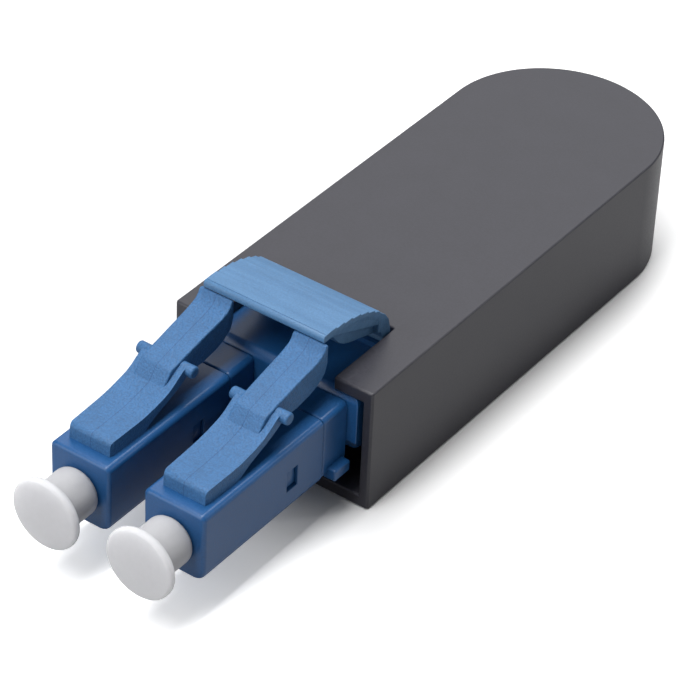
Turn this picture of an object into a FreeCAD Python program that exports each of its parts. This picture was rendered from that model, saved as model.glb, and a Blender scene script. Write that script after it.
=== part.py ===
# Fibre loopback module with a duplex plug: every piece as its own body, in millimetres.
# X runs across the two plugs, +Y from the plugs to the rounded end of the case, +Z up.
# The origin is the middle of the case's flat underside.

import FreeCAD, Part
import math
import os
import re

import Sketcher

SIZES = {
    # Case
    "case_height": 7.95,
    "case_length": 34.0,
    "case_wall": 0.75,
    "case_side_gap": 0.2,
    "case_roof": 0.65,
    "case_floor": 0.7,
    "case_corner": 0.3,
    "case_edge": 0.14,
    "notch_side_gap": 0.25,
    "notch_back_gap": 0.65,
    "notch_corner": 0.3,
    "cradle_width": 1.0,
    "cradle_start": 1.0,
    "stop_width": 0.7,
    "stop_length": 1.0,
    # Plugs, measured from the mouth of the case and from the fibre's axis
    "plug_pitch": 6.25,
    "plug_width": 3.98,
    "plug_height": 4.36,
    "plug_edge": 0.35,
    "plug_foot_edge": 0.7,
    "plug_axis_rise": 4.62,
    "nose_reach": 12.45,
    "nose_edge": 0.16,
    "seam_reach": 2.2,
    "seam_step": 0.05,
    "web_reach": 10.3,
    "web_thickness": 1.0,
    "cavity_radius": 1.55,
    "window_reach": 5.35,
    "window_length": 0.9,
    "window_height": 1.2,
    "window_drop": 0.02,
    # Rear bodies
    "mouth_gap": 0.05,
    "spigot_lead": 0.2,
    "neck_radius": 1.6,
    "neck_length": 1.05,
    "collar_thickness": 1.2,
    "post_radius": 1.15,
    "post_length": 4.4,
    "tail_bore_radius": 0.95,
    "rail_width": 0.5,
    "rail_height": 0.75,
    "rail_rise": 0.21,
    "rail_reach": 1.85,
    # Ferrules, their holders and springs
    "ferrule_radius": 0.6245,
    "ferrule_length": 6.4,
    "ferrule_stand_out": 1.8,
    "ferrule_tip_chamfer": 0.12,
    "flange_radius": 1.42,
    "flange_thickness": 1.3,
    "holder_tail_radius": 0.78,
    "holder_tail_length": 3.9,
    "spring_wire": 0.25,
    "spring_turns": 5.0,
    "float_travel": 0.9,
    # Crimp sleeves and the fibre
    "sleeve_wall": 0.25,
    "sleeve_length": 4.0,
    "fiber_radius": 0.45,
    "loop_gap": 0.55,
    "loop_spread_angle": 12.0,
    "loop_spread_start": 9.0,
    # Latch levers
    "lever_width": 2.64,
    "arm_width": 1.98,
    "block_reach": 11.6,
    "root_reach": 9.1,
    "root_rise": 0.46,
    "root_radius": 0.42,
    "step_reach": 6.8,
    "step_run": 0.7,
    "step_foot_rise": 1.35,
    "step_top_rise": 2.17,
    "arm_slope": 0.24,
    "kink_reach": 1.85,
    "tip_reach": 1.05,
    "tip_rise": 3.8,
    "tip_depth": 0.45,
    "arm_thickness": 1.85,
    "belly_rise": 1.1,
    "lug_reach": 5.47,
    "lug_length": 0.62,
    "lug_depth": 0.67,
    "lug_span": 3.7,
    "lug_rise": 1.97,
    "lug_round": 0.3,
    # Duplex clip
    "collar_gap": 0.035,
    "clip_wall": 0.6,
    "clip_roof": 0.4,
    "clip_corner": 0.55,
    "clip_length": 9.0,
    "clip_skirt_rise": 4.1,
    "clip_front_wall": 0.9,
    "roof_gap": 0.1,
    "pad_start": 2.5,
    "pad_length": 5.0,
    "pad_height": 1.6,
    # Trigger
    "trigger_width": 8.0,
    "trigger_overhang": 0.95,
    "trigger_back": 5.3,
    "lip_thickness": 0.45,
    "lip_round": 0.16,
    "lip_run": 0.6,
    "groove_width": 0.09,
    "groove_depth": 0.1,
    "hinge_rise": 0.35,
    "hinge_radius": 0.38,
    "shoulder_rise": 0.4,
    "skin_thickness": 0.8,
    "rib_depth": 0.09,
    "rib_first_angle": 12.0,
    "rib_angle": 8.0,
    "gusset_depth": 1.81,
    "gusset_thickness": 0.7,
    "gusset_inset": 0.12,
    "boss_length": 1.5,
    # Dust caps
    "cap_disc_radius": 2.14,
    "cap_disc_thickness": 0.5,
    "cap_dome": 0.12,
    "cap_rim_round": 0.18,
    "cap_reach": 3.05,
    "cap_neck_round": 0.2,
    "cap_stem_radius": 1.46,
    "cap_stem_round": 0.42,
    "cap_insert_radius": 1.0,
    "cap_insert": 1.9,
    # Clearances
    "running_gap": 0.03,
    "snap_gap": 0.02,
    "trigger_gap": 0.05,
}

RIB_COUNT = 8
SIDES = {"left": -1, "right": 1}

# Heights and places that several pieces share, worked out from the sizes above
PLUG_TOP = "(plug_axis_rise + plug_height / 2)"
CLIP_TOP = "(case_height - case_roof - roof_gap)"
HINGE_Z = "(case_height - case_roof - roof_gap + hinge_rise)"
HINGE_Y = "(trigger_back - hinge_radius)"
LIP_UNDER = "(plug_axis_rise + plug_height / 2 + tip_rise + trigger_gap)"
LIP_TOP = "(plug_axis_rise + plug_height / 2 + tip_rise + trigger_gap + lip_thickness)"
FERRULE_TIP = "(nose_reach + ferrule_stand_out)"
FERRULE_TAIL = "(nose_reach + ferrule_stand_out - ferrule_length)"
SPIGOT_REACH = "(window_reach + spigot_lead)"
FLANGE_FRONT = "(web_reach - web_thickness - snap_gap)"
FLANGE_BACK = "(web_reach - web_thickness - snap_gap - flange_thickness)"
CLIP_HALF = "(plug_pitch / 2 + plug_width / 2 - seam_step + collar_gap + clip_wall)"
CASE_HALF = "(%s + case_side_gap + case_wall)" % CLIP_HALF
ROUND_CENTRE = "(case_length / 2 - %s)" % CASE_HALF
LOOP_RADIUS = "(%s - case_wall - loop_gap - fiber_radius)" % CASE_HALF
NOTCH_HALF = "(trigger_width / 2 + notch_side_gap)"
NOTCH_BACK = "(-case_length / 2 + trigger_back + notch_back_gap)"

doc = FreeCAD.newDocument("fiber_loopback_module")
sheet = doc.addObject("Spreadsheet::Sheet", "Sizes")
for row, (alias, value) in enumerate(SIZES.items(), start=1):
    sheet.set("A%d" % row, alias)
    sheet.set("B%d" % row, str(value))
    sheet.setAlias("B%d" % row, alias)
doc.recompute()

bodies = []


def bound(text):
    """The same sum with each size's name pointed at the spreadsheet."""
    return re.sub(r"\b([a-z]+(?:_[a-z]+)+)\b", r"Sizes.\1", text)


def number(text):
    """What a sum comes to with the sheet's present sizes."""
    return float(sheet.evalExpression(bound(text)))


def new_body(label, x="0", y="-case_length / 2", z="0"):
    """A body whose own origin stands at the given place; the mouth of the case if none is given."""
    body = doc.addObject("PartDesign::Body", label)
    body.Label = label
    for axis, place in zip("xyz", (x, y, z)):
        body.setExpression("Placement.Base." + axis, bound(place))
    bodies.append(body)
    return body


def new_sketch(body, name, plane, lift="0"):
    """A sketch on one of the body's own origin planes, raised along the plane's normal."""
    sketch = body.newObject("Sketcher::SketchObject", name)
    for support in body.Origin.OriginFeatures:
        if support.Role == plane + "_Plane":
            sketch.AttachmentSupport = [(support, "")]
    sketch.MapMode = "FlatFace"
    sketch.setExpression("AttachmentOffset.Base.z", bound(lift))
    return sketch


def hold(sketch, kind, where, text):
    """One distance of a sketch point from the sketch's origin, tied to the sheet."""
    index = sketch.addConstraint(Sketcher.Constraint(kind, -1, 1, *where, number(text)))
    sketch.setExpression("Constraints[%d]" % index, bound(text))


def hold_point(sketch, where, x, y):
    hold(sketch, "DistanceX", where, x)
    hold(sketch, "DistanceY", where, y)


def draw(sketch, corners, closed=True):
    """Lines and arcs through the corners. A corner is (x, y), or (x, y, centre x, centre y, turn)
    where an arc leaves it; turn is 1 for an arc that runs anticlockwise and -1 for clockwise."""
    points = [(number(c[0]), number(c[1])) for c in corners]
    ends = []
    pairs = len(corners) if closed else len(corners) - 1
    for i in range(pairs):
        start = FreeCAD.Vector(*points[i], 0)
        stop = FreeCAD.Vector(*points[(i + 1) % len(points)], 0)
        if len(corners[i]) == 2:
            edge = sketch.addGeometry(Part.LineSegment(start, stop), False)
            ends.append(((edge, 1), (edge, 2)))
            continue
        centre = FreeCAD.Vector(number(corners[i][2]), number(corners[i][3]), 0)
        first, last = (start, stop) if corners[i][4] > 0 else (stop, start)
        begin = math.atan2(first.y - centre.y, first.x - centre.x)
        finish = math.atan2(last.y - centre.y, last.x - centre.x)
        circle = Part.Circle(centre, FreeCAD.Vector(0, 0, 1), (first - centre).Length)
        edge = sketch.addGeometry(Part.ArcOfCircle(circle, begin, finish), False)
        ends.append(((edge, 1), (edge, 2)) if corners[i][4] > 0 else ((edge, 2), (edge, 1)))
        chord = stop - start
        across = abs(chord.x) > abs(chord.y)
        hold(sketch, "DistanceY" if across else "DistanceX", (edge, 3), corners[i][3 if across else 2])
    for i, pair in enumerate(ends):
        hold_point(sketch, pair[0], corners[i][0], corners[i][1])
        if closed or i + 1 < len(ends):
            following = ends[(i + 1) % len(ends)][0]
            sketch.addConstraint(Sketcher.Constraint("Coincident", *pair[1], *following))
    if not closed:
        hold_point(sketch, ends[-1][1], corners[-1][0], corners[-1][1])
    return sketch


def draw_circle(sketch, x, y, radius):
    centre = FreeCAD.Vector(number(x), number(y), 0)
    circle = Part.Circle(centre, FreeCAD.Vector(0, 0, 1), number(radius))
    edge = sketch.addGeometry(circle, False)
    hold_point(sketch, (edge, 3), x, y)
    index = sketch.addConstraint(Sketcher.Constraint("Radius", edge, number(radius)))
    sketch.setExpression("Constraints[%d]" % index, bound(radius))
    return sketch


def rectangle(sketch, x0, x1, y0, y1):
    return draw(sketch, [(x0, y0), (x1, y0), (x1, y1), (x0, y1)])


def pad(body, sketch, length, both_ways=False, backwards=False):
    feature = body.newObject("PartDesign::Pad", sketch.Name + "_pad")
    feature.Profile = sketch
    feature.setExpression("Length", bound(length))
    feature.SideType = "Symmetric" if both_ways else "One side"
    feature.Reversed = backwards
    doc.recompute()
    return feature


def pocket(body, sketch, length, both_ways=False, backwards=False):
    """A pocket of the given depth, which must take something away."""
    before = body.Shape.Volume
    feature = body.newObject("PartDesign::Pocket", sketch.Name + "_cut")
    feature.Profile = sketch
    feature.setExpression("Length", bound(length))
    feature.SideType = "Symmetric" if both_ways else "One side"
    feature.Reversed = backwards
    doc.recompute()
    if not body.Shape.Volume < before - 1e-6:
        raise RuntimeError(feature.Name + " cuts nothing")
    return feature


def turn(body, sketch):
    """The sketch turned once round its own horizontal axis, which lies along the fibre."""
    feature = body.newObject("PartDesign::Revolution", sketch.Name + "_turn")
    feature.Profile = sketch
    feature.ReferenceAxis = (sketch, ["H_Axis"])
    feature.Angle = 360
    doc.recompute()
    return feature


def bore(body, name, reach_from, reach_to, radius):
    """A round hole along the fibre's axis between two distances in front of the mouth."""
    before = body.Shape.Volume
    sketch = new_sketch(body, name, "YZ")
    rectangle(sketch, "-" + reach_from, "-" + reach_to, "0", radius)
    feature = body.newObject("PartDesign::Groove", name + "_groove")
    feature.Profile = sketch
    feature.ReferenceAxis = (sketch, ["H_Axis"])
    feature.Angle = 360
    doc.recompute()
    if not body.Shape.Volume < before - 1e-6:
        raise RuntimeError(feature.Name + " cuts nothing")
    return feature


def round_edges(body, name, radius, wanted):
    """A fillet on the edges of the body's last feature that the test picks out."""
    base = body.Tip
    names = ["Edge%d" % (i + 1) for i, edge in enumerate(base.Shape.Edges) if wanted(edge)]
    feature = body.newObject("PartDesign::Fillet", name)
    feature.Base = (base, names)
    feature.setExpression("Radius", bound(radius))
    doc.recompute()
    return feature


def box_of(edge):
    return edge.BoundBox


def near(a, b, slack=1e-4):
    return abs(a - b) < slack


def flat_at(edge, axis, value):
    """True where the whole edge lies at one value of X, Y or Z."""
    box = box_of(edge)
    return near(getattr(box, axis + "Min"), value) and near(getattr(box, axis + "Max"), value)


def along(edge, axis):
    """True for a straight edge that runs along X, Y or Z."""
    box = box_of(edge)
    spans = {"X": box.XLength, "Y": box.YLength, "Z": box.ZLength}
    return spans.pop(axis) > 1e-3 and max(spans.values()) < 1e-4


def d_outline(inset, front):
    """The case seen from above: straight sides and a half-round rear end."""
    half = "(%s - %s)" % (CASE_HALF, inset)
    return [
        ("-" + half, front),
        (half, front),
        (half, ROUND_CENTRE, "0", ROUND_CENTRE, 1),
        ("-" + half, ROUND_CENTRE),
    ]


def make_case():
    """One moulding, open at the front, with a notch in its roof for the trigger."""
    case = new_body("case", y="0")
    outline = draw(new_sketch(case, "case_outline", "XY"), d_outline("0", "-case_length / 2"))
    pad(case, outline, "case_height")
    front = number("-case_length / 2")
    round_edges(case, "case_corners", "case_corner", lambda e: along(e, "Z") and flat_at(e, "Y", front))
    top = number("case_height")
    round_edges(
        case,
        "case_top_edge",
        "case_edge",
        lambda e: flat_at(e, "Z", top) and not flat_at(e, "Y", front),
    )
    round_edges(
        case,
        "case_foot_edge",
        "case_edge",
        lambda e: flat_at(e, "Z", 0) and not flat_at(e, "Y", front),
    )
    cavity = draw(
        new_sketch(case, "cavity", "XY", "case_floor"),
        d_outline("case_wall", "(-case_length / 2 - case_wall)"),
    )
    pocket(case, cavity, "case_height - case_floor - case_roof", backwards=True)
    notch = rectangle(
        new_sketch(case, "notch", "XY", "case_height"),
        "-" + NOTCH_HALF,
        NOTCH_HALF,
        "-case_length / 2 - case_wall",
        NOTCH_BACK,
    )
    pocket(case, notch, "case_roof * 1.5")
    notch_back = number(NOTCH_BACK)
    notch_half = number(NOTCH_HALF)
    round_edges(
        case,
        "notch_corners",
        "notch_corner",
        lambda e: along(e, "Z")
        and near(box_of(e).YMin, notch_back)
        and near(abs(box_of(e).XMin), notch_half),
    )
    for side, sign in SIDES.items():
        inner = "(%d * plug_pitch / 2 - cradle_width / 2)" % sign
        outer = "(%d * plug_pitch / 2 + cradle_width / 2)" % sign
        cradle = rectangle(
            new_sketch(case, "cradle_" + side, "XY", "case_floor"),
            inner,
            outer,
            "-case_length / 2 + cradle_start",
            "-case_length / 2 + clip_length",
        )
        pad(case, cradle, "plug_axis_rise - plug_height / 2 - snap_gap - case_floor")
    for side, sign in SIDES.items():
        wall = "(%d * (%s - case_wall))" % (sign, CASE_HALF)
        rib = "(%d * (%s - case_wall - stop_width))" % (sign, CASE_HALF)
        stop = rectangle(
            new_sketch(case, "stop_" + side, "XY", "case_floor"),
            rib if sign > 0 else wall,
            wall if sign > 0 else rib,
            "-case_length / 2 + clip_length + snap_gap",
            "-case_length / 2 + clip_length + snap_gap + stop_length",
        )
        pad(case, stop, "case_height - case_floor - case_roof")


def make_clip():
    """The frame that joins the two plugs: an inverted channel with a cradle for each neck."""
    clip = new_body("duplex_clip")
    inner = "(%s - clip_corner)" % CLIP_HALF
    shoulder = CLIP_TOP + " - clip_corner"
    outline = [
        ("-" + CLIP_HALF, "clip_skirt_rise"),
        (CLIP_HALF, "clip_skirt_rise"),
        (CLIP_HALF, shoulder, inner, shoulder, 1),
        (inner, CLIP_TOP),
        ("-" + inner, CLIP_TOP, "-" + inner, shoulder, 1),
        ("-" + CLIP_HALF, shoulder),
    ]
    pad(clip, draw(new_sketch(clip, "clip_outline", "XZ"), outline), "clip_length", backwards=True)
    channel = rectangle(
        new_sketch(clip, "clip_channel", "XZ", "-clip_front_wall"),
        "-(%s - clip_wall)" % CLIP_HALF,
        "(%s - clip_wall)" % CLIP_HALF,
        "clip_skirt_rise - clip_wall",
        CLIP_TOP + " - clip_roof",
    )
    pocket(clip, channel, "clip_length")
    for side, sign in SIDES.items():
        centre = "(%d * plug_pitch / 2)" % sign
        reach = "(neck_radius + running_gap)"
        saddle = [
            (centre + " - " + reach, "clip_skirt_rise - clip_wall"),
            (centre + " + " + reach, "clip_skirt_rise - clip_wall"),
            (centre + " + " + reach, "plug_axis_rise", centre, "plug_axis_rise", 1),
            (centre + " - " + reach, "plug_axis_rise"),
        ]
        pocket(clip, draw(new_sketch(clip, "saddle_" + side, "XZ"), saddle), "clip_front_wall * 1.5")
    for side, sign in SIDES.items():
        wall = "(%d * %s)" % (sign, CLIP_HALF)
        reach = "(%d * (%s - case_wall - snap_gap))" % (sign, CASE_HALF)
        side_pad = rectangle(
            new_sketch(clip, "pad_" + side, "XZ", "-pad_start"),
            wall if sign > 0 else reach,
            reach if sign > 0 else wall,
            CLIP_TOP + " - clip_corner - pad_height",
            CLIP_TOP + " - clip_corner",
        )
        pad(clip, side_pad, "pad_length", backwards=True)
    boss = rectangle(
        new_sketch(clip, "hinge_boss", "YZ"),
        HINGE_Y + " - boss_length / 2",
        HINGE_Y + " + boss_length / 2",
        CLIP_TOP + " - clip_roof / 2",
        HINGE_Z,
    )
    pad(clip, boss, "trigger_width", both_ways=True)
    socket = new_sketch(clip, "hinge_socket", "YZ")
    draw_circle(socket, HINGE_Y, HINGE_Z, "hinge_radius + running_gap")
    pocket(clip, socket, "trigger_width * 1.1", both_ways=True)


def on_crown(angle, drop):
    """A point of the trigger's quarter-ellipse back, some way below its surface."""
    run = "(trigger_back + lip_run - %s)" % drop
    rise = "(%s - %s - shoulder_rise - %s)" % (LIP_TOP, HINGE_Z, drop)
    return (
        "%s * sin(%s) - lip_run" % (run, angle),
        "%s * cos(%s) + %s + shoulder_rise" % (rise, angle, HINGE_Z),
    )


def make_trigger():
    """The ribbed press plate over the ends of both latch levers, turning on its rear roll."""
    trigger = new_body("trigger")
    front = "(-trigger_overhang)"
    groove = "(-trigger_overhang + lip_round * 2)"
    corners = [
        (front, LIP_UNDER),
        (front, LIP_TOP + " - lip_round", front + " + lip_round", LIP_TOP + " - lip_round", -1),
        (front + " + lip_round", LIP_TOP),
        (groove, LIP_TOP),
        (groove + " + groove_width / 2", LIP_TOP + " - groove_depth"),
        (groove + " + groove_width", LIP_TOP),
    ]
    for i in range(RIB_COUNT + 1):
        angle = "((rib_first_angle + %d * rib_angle) * 1 deg)" % i
        if i > 0:
            corners.append(on_crown(angle, "rib_depth"))
        corners.append(on_crown(angle, "0"))
    corners += [
        ("trigger_back", HINGE_Z + " + shoulder_rise"),
        ("trigger_back", HINGE_Z),
        (HINGE_Y + " - hinge_radius", HINGE_Z),
        ("trigger_back - skin_thickness", HINGE_Z + " + shoulder_rise / 2"),
    ]
    for degrees in (78, 62, 46, 30):
        corners.append(on_crown("(%d deg)" % degrees, "skin_thickness"))
    corners.append(("lip_run / 2", LIP_UNDER))
    pad(trigger, draw(new_sketch(trigger, "skin", "YZ"), corners), "trigger_width", both_ways=True)
    roll = draw_circle(new_sketch(trigger, "roll", "YZ"), HINGE_Y, HINGE_Z, "hinge_radius")
    pad(trigger, roll, "trigger_width", both_ways=True)
    for side, sign in SIDES.items():
        outer = "(%d * (trigger_width / 2 - gusset_inset))" % sign
        gusset = [
            ("lip_run / 2", LIP_UNDER + " + lip_thickness / 4"),
            ("lip_run / 2", LIP_UNDER + " - gusset_depth * 0.2"),
            ("lip_run * 1.5", LIP_UNDER + " - gusset_depth * 0.68"),
            ("lip_run * 2.8", LIP_UNDER + " - gusset_depth * 0.95"),
            ("lip_run * 4.35", LIP_UNDER + " - gusset_depth"),
            ("trigger_back - skin_thickness * 1.4", HINGE_Z + " + shoulder_rise * 1.6"),
            ("trigger_back - skin_thickness / 2", HINGE_Z + " + shoulder_rise * 1.6"),
            on_crown("(60 deg)", "skin_thickness * 0.7"),
            on_crown("(30 deg)", "skin_thickness * 0.7"),
        ]
        sketch = draw(new_sketch(trigger, "gusset_" + side, "YZ", outer), gusset)
        pad(trigger, sketch, "gusset_thickness", backwards=sign > 0)


def plug_place(sign):
    return {"x": "%d * plug_pitch / 2" % sign, "z": "plug_axis_rise"}


def rounded_square(body, name, lift, shrink="0"):
    """The plug's cross-section with its four long edges rounded."""
    half = "(plug_width / 2 - %s)" % shrink
    tall = "(plug_height / 2 - %s)" % shrink
    x, y = "(%s - plug_edge)" % half, "(%s - plug_edge)" % tall
    low_x, low_y = "(%s - plug_foot_edge)" % half, "(%s - plug_foot_edge)" % tall
    corners = [
        (low_x, "-" + tall, low_x, "-" + low_y, 1),
        (half, "-" + low_y),
        (half, y, x, y, 1),
        (x, tall),
        ("-" + x, tall, "-" + x, y, 1),
        ("-" + half, y),
        ("-" + half, "-" + low_y, "-" + low_x, "-" + low_y, 1),
        ("-" + low_x, "-" + tall),
    ]
    return draw(new_sketch(body, name, "XZ", lift), corners)


def make_plug_housing(side, sign):
    """The plug's front housing, with the socket that the latch lever turns in on its top."""
    housing = new_body("plug_housing_" + side, **plug_place(sign))
    pad(housing, rounded_square(housing, side + "_plug_section", "seam_reach"), "nose_reach - seam_reach")
    face = number("-nose_reach")
    round_edges(housing, side + "_nose_edge", "nose_edge", lambda e: flat_at(e, "Y", face))
    block = [
        ("-block_reach", "plug_height / 2 - plug_edge"),
        ("-root_reach - root_radius / 2", "plug_height / 2 - plug_edge"),
        ("-root_reach - root_radius / 2", "plug_height / 2 + root_rise + root_radius"),
        ("-block_reach + root_radius", "plug_height / 2 + root_rise + root_radius"),
        ("-block_reach + root_radius / 4", "plug_height / 2 + root_rise + root_radius * 0.7"),
    ]
    sketch = draw(new_sketch(housing, side + "_block", "YZ"), block)
    pad(housing, sketch, "lever_width", both_ways=True)
    socket = draw_circle(
        new_sketch(housing, side + "_root_socket", "YZ"),
        "-root_reach",
        "plug_height / 2 + root_rise",
        "root_radius + running_gap",
    )
    pocket(housing, socket, "lever_width * 1.1", both_ways=True)
    bore(housing, side + "_cavity", "(web_reach - web_thickness)", "(seam_reach / 2)", "cavity_radius")
    bore(
        housing,
        side + "_guide",
        "(web_reach + web_thickness)",
        "(web_reach - web_thickness * 2)",
        "ferrule_radius + running_gap * 2",
    )
    mouth = "cap_insert_radius + running_gap"
    bore(housing, side + "_mouth", "(nose_reach + web_thickness)", "web_reach", mouth)
    window = rectangle(
        new_sketch(housing, side + "_window", "YZ"),
        "-window_reach",
        "-window_reach + window_length",
        "-window_drop - window_height / 2",
        "-window_drop + window_height / 2",
    )
    pocket(housing, window, "plug_width * 1.2", both_ways=True)


def make_rear_body(side, sign):
    """The back half of the plug: a spigot in front, the neck that the clip holds and a crimp post."""
    body = new_body("rear_body_" + side, **plug_place(sign))
    section = rounded_square(body, side + "_rear_section", "mouth_gap", "seam_step")
    pad(body, section, "seam_reach - mouth_gap - snap_gap")
    front = new_sketch(body, side + "_spigot", "XZ", "seam_reach / 2")
    spigot = draw_circle(front, "0", "0", "cavity_radius - running_gap")
    pad(body, spigot, SPIGOT_REACH + " - seam_reach / 2")
    neck = draw_circle(new_sketch(body, side + "_neck", "XZ", "mouth_gap * 2"), "0", "0", "neck_radius")
    pad(body, neck, "neck_length + mouth_gap * 2 + collar_thickness / 2", backwards=True)
    collar = rounded_square(body, side + "_collar", "-neck_length", "seam_step")
    pad(body, collar, "collar_thickness", backwards=True)
    post = draw_circle(new_sketch(body, side + "_post", "XZ", "-neck_length"), "0", "0", "post_radius")
    pad(body, post, "collar_thickness + post_length", backwards=True)
    tab = rectangle(
        new_sketch(body, side + "_snap_tab", "YZ"),
        "-window_reach + running_gap",
        "-window_reach + window_length - running_gap",
        "-window_drop - window_height / 2 + running_gap",
        "-window_drop + window_height / 2 - running_gap",
    )
    pad(body, tab, "cavity_radius * 2 + (plug_width / 2 - cavity_radius) * 0.6", both_ways=True)
    rail_inner = "(%d * (plug_width / 2 - plug_edge))" % sign
    rail_outer = "(%d * (plug_width / 2 + rail_width))" % sign
    rail = rectangle(
        new_sketch(body, side + "_rail", "XZ", "rail_reach"),
        rail_inner if sign > 0 else rail_outer,
        rail_outer if sign > 0 else rail_inner,
        "-plug_height / 2 + rail_rise",
        "-plug_height / 2 + rail_rise + rail_height",
    )
    pad(body, rail, "rail_reach + neck_length + collar_thickness", backwards=True)
    spigot_end = "(%s + seam_reach)" % SPIGOT_REACH
    bore(body, side + "_tail_bore", spigot_end, "(seam_reach / 2)", "tail_bore_radius")
    bore(
        body,
        side + "_fiber_bore",
        "(seam_reach)",
        "(-(neck_length + collar_thickness + post_length) * 1.1)",
        "fiber_radius + running_gap",
    )


def make_ferrule(side, sign):
    """The ceramic ferrule, chamfered at its tip, polished over the fibre that fills it."""
    ferrule = new_body("ferrule_" + side, **plug_place(sign))
    sketch = draw(new_sketch(ferrule, side + "_ferrule_profile", "YZ"), [
        ("-" + FERRULE_TIP, "0"),
        ("-" + FERRULE_TAIL, "0"),
        ("-" + FERRULE_TAIL, "ferrule_radius"),
        ("-" + FERRULE_TIP + " + ferrule_tip_chamfer", "ferrule_radius"),
        ("-" + FERRULE_TIP, "ferrule_radius - ferrule_tip_chamfer"),
    ])
    turn(ferrule, sketch)


def make_ferrule_holder(side, sign):
    """The collar and tail tube behind the ferrule, which the spring pushes forwards."""
    holder = new_body("ferrule_holder_" + side, **plug_place(sign))
    tail_end = "(%s - holder_tail_length)" % FLANGE_BACK
    sketch = draw(new_sketch(holder, side + "_holder_profile", "YZ"), [
        ("-" + FLANGE_FRONT, "ferrule_radius + snap_gap / 2"),
        ("-" + FERRULE_TAIL + " + snap_gap", "ferrule_radius + snap_gap / 2"),
        ("-" + FERRULE_TAIL + " + snap_gap", "fiber_radius + running_gap"),
        ("-" + tail_end, "fiber_radius + running_gap"),
        ("-" + tail_end, "holder_tail_radius"),
        ("-" + FLANGE_BACK, "holder_tail_radius"),
        ("-" + FLANGE_BACK, "flange_radius"),
        ("-" + FLANGE_FRONT + " + running_gap * 4", "flange_radius"),
        ("-" + FLANGE_FRONT, "flange_radius - running_gap * 4"),
    ])
    turn(holder, sketch)


def make_spring(side, sign):
    """The coil spring round the holder's tail, between its collar and the rear body's spigot."""
    spring = new_body("spring_" + side, **plug_place(sign))
    coil_radius = "(holder_tail_radius + running_gap * 2 + spring_wire / 2)"
    start = "(-%s + snap_gap + spring_wire / 2)" % FLANGE_BACK
    wire = draw_circle(new_sketch(spring, side + "_wire", "YZ"), start, coil_radius, "spring_wire / 2")
    doc.recompute()
    coil = spring.newObject("PartDesign::AdditiveHelix", side + "_coil")
    coil.Profile = wire
    coil.ReferenceAxis = (wire, ["H_Axis"])
    coil.Mode = "height-turns-angle"
    free_length = "%s - %s - snap_gap * 2 - spring_wire" % (FLANGE_BACK, SPIGOT_REACH)
    coil.setExpression("Height", bound(free_length))
    coil.setExpression("Turns", bound("spring_turns"))
    coil.Angle = 0
    doc.recompute()


def make_crimp_sleeve(side, sign):
    """The metal sleeve crimped over the rear body's post."""
    sleeve = new_body("crimp_sleeve_" + side, **plug_place(sign))
    inside = "post_radius + snap_gap / 2"
    start = "(neck_length + collar_thickness + snap_gap)"
    sketch = draw(new_sketch(sleeve, side + "_sleeve_profile", "YZ"), [
        (start, inside),
        (start + " + sleeve_length", inside),
        (start + " + sleeve_length", inside + " + sleeve_wall"),
        (start, inside + " + sleeve_wall"),
    ])
    turn(sleeve, sketch)


def make_lever(side, sign):
    """The latch lever: a rolled root in front, a step with two catch lugs and the rising arm."""
    lever = new_body("latch_lever_" + side, **plug_place(sign))
    top = "(plug_height / 2)"
    root_top = top + " + root_rise + root_radius"
    foot = top + " + step_foot_rise"
    belly = top + " + belly_rise"
    lug_top = top + " + lug_rise"
    sweep_run = "(root_reach - step_reach)"
    sweep_rise = "(step_foot_rise - root_rise - root_radius)"
    sweep_radius = "((%s ^ 2 + %s ^ 2) / (2 * %s))" % (sweep_run, sweep_rise, sweep_rise)
    plate = [
        ("-root_reach", top + " + root_rise - root_radius"),
        ("-root_reach + root_radius", top + " + root_rise - root_radius + running_gap * 2"),
        ("-step_reach - step_run * 1.5", top + " + belly_rise * 0.35"),
        ("-step_reach + step_run / 2", top + " + belly_rise * 0.7"),
        ("-lug_reach + lug_round", belly),
        ("-lug_reach + lug_round", lug_top + " - lug_round / 4"),
        ("-step_reach + step_run * 1.2", top + " + lug_rise - lug_round / 2"),
        ("-step_reach", foot, "-root_reach", root_top + " + " + sweep_radius, -1),
        ("-root_reach", root_top),
    ]
    pad(lever, draw(new_sketch(lever, side + "_root_plate", "YZ"), plate), "lever_width", both_ways=True)
    roll = new_sketch(lever, side + "_root_roll", "YZ")
    draw_circle(roll, "-root_reach", top + " + root_rise", "root_radius")
    pad(lever, roll, "lever_width", both_ways=True)
    back = "(-tip_reach + tip_depth)"
    kink = "%s + step_top_rise + (step_reach - step_run - kink_reach) * arm_slope" % top
    arm = [
        ("-step_reach", foot),
        ("-step_reach + step_run / 2", top + " + belly_rise * 0.8"),
        ("-lug_reach + lug_round", belly),
        ("-kink_reach * 1.8", belly),
        ("-kink_reach * 1.05", top + " + belly_rise * 1.27"),
        ("-kink_reach * 0.68", top + " + belly_rise * 1.55"),
        (back + " - tip_depth / 2", top + " + tip_rise - arm_thickness * 0.84"),
        (back, top + " + tip_rise - arm_thickness / 2"),
        (back, top + " + tip_rise"),
        ("-tip_reach", top + " + tip_rise"),
        ("-kink_reach", kink),
        ("-step_reach + step_run", top + " + step_top_rise"),
    ]
    pad(lever, draw(new_sketch(lever, side + "_arm", "YZ"), arm), "arm_width", both_ways=True)
    lug_back = "(-lug_reach + lug_length)"
    lug = [
        ("-lug_reach", lug_top + " - lug_depth"),
        (lug_back, lug_top + " - lug_depth"),
        (lug_back, lug_top),
        ("-lug_reach + lug_round", lug_top, "-lug_reach + lug_round", lug_top + " - lug_round", 1),
        ("-lug_reach", lug_top + " - lug_round"),
    ]
    pad(lever, draw(new_sketch(lever, side + "_lugs", "YZ"), lug), "lug_span", both_ways=True)


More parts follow.
